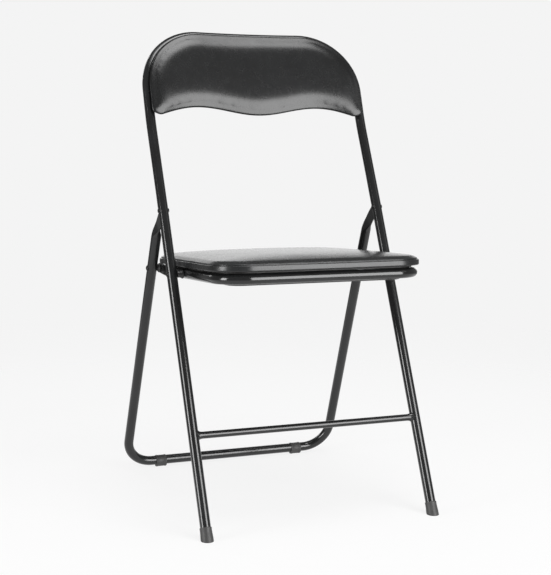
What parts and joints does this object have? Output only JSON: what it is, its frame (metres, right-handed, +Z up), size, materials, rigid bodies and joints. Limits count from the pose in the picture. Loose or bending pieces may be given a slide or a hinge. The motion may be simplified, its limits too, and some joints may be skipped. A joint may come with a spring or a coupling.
{
  "type": "folding chair",
  "caption": "Padded steel-tube folding chair: inverted-U front frame with a vinyl backrest, U-shaped rear frame and a padded seat that swings up to fold it flat.",
  "frame": {"origin": "centre of the open chair's footprint, on the floor", "axes": "+Z up, +Y from the seat's front edge towards the back, +X to the left of the sitter; the chair mirrors across X = 0"},
  "size_m": [0.4232, 0.4771, 0.801],
  "materials": {
    "paint": "gloss",
    "vinyl": "satin",
    "plastic": "matte",
    "nylon": "satin",
    "rivet": "satin",
    "board": "matte"
  },
  "bodies": {
    "front_frame": {"front_frame_tube": "paint", "front_stretcher": "paint", "stretcher_weld_left": "paint", "stretcher_weld_right": "paint", "front_foot_left": "plastic", "front_foot_right": "plastic", "backrest_board": "board", "backrest_pad": "vinyl", "backrest_screw_leg_left": "rivet", "backrest_screw_leg_right": "rivet", "backrest_screw_bar_left": "rivet", "backrest_screw_bar_right": "rivet", "pivot_rivet_left": "rivet", "pivot_rivet_right": "rivet", "pivot_bush_inner_left": "nylon", "pivot_bush_inner_right": "nylon", "pivot_bush_outer_left": "nylon", "pivot_bush_outer_right": "nylon", "seat_pin_left": "rivet", "seat_pin_right": "rivet", "seat_spacer_left": "nylon", "seat_spacer_right": "nylon"},
    "rear_frame": {"rear_frame_tube": "paint", "rear_glide_left": "plastic", "rear_glide_right": "plastic", "rear_pin_left": "rivet", "rear_pin_right": "rivet", "rear_cone_left": "plastic", "rear_cone_right": "plastic"},
    "seat": {"seat_ring": "paint", "seat_board": "board", "seat_cushion": "vinyl", "seat_under_board": "board", "seat_screw_front_left": "rivet", "seat_screw_front_right": "rivet", "seat_screw_rear_left": "rivet", "seat_screw_rear_right": "rivet", "link_pin_left": "rivet", "link_pin_right": "rivet", "link_washer_left": "nylon", "link_washer_right": "nylon"},
    "link_left": {"fold_link_left": "paint"},
    "link_right": {"fold_link_right": "paint"}
  },
  "joints": [
    {"name": "seat_fold", "type": "hinge", "parent": "front_frame", "child": "seat", "pos_m": [0, -0.0477, 0.39464], "axis": [-1, 0, 0], "range_deg": [0, 111.7]},
    {"name": "rear_fold", "type": "hinge", "parent": "front_frame", "child": "rear_frame", "pos_m": [0, -0.00128, 0.4965], "axis": [-1, 0, 0], "range_deg": [0, 47.23]},
    {"name": "link_left_fold", "type": "hinge", "parent": "seat", "child": "link_left", "pos_m": [0, 0.01106, 0.39177], "axis": [1, 0, 0], "range_deg": [0, 150.64]},
    {"name": "link_right_fold", "type": "hinge", "parent": "seat", "child": "link_right", "pos_m": [0, 0.01106, 0.39177], "axis": [1, 0, 0], "range_deg": [0, 150.64]}
  ],
  "couplings": [
    {"joint": "rear_fold", "follows": "seat_fold", "ratio": 0.42283},
    {"joint": "link_left_fold", "follows": "seat_fold", "ratio": 1.3486},
    {"joint": "link_right_fold", "follows": "seat_fold", "ratio": 1.3486}
  ]
}
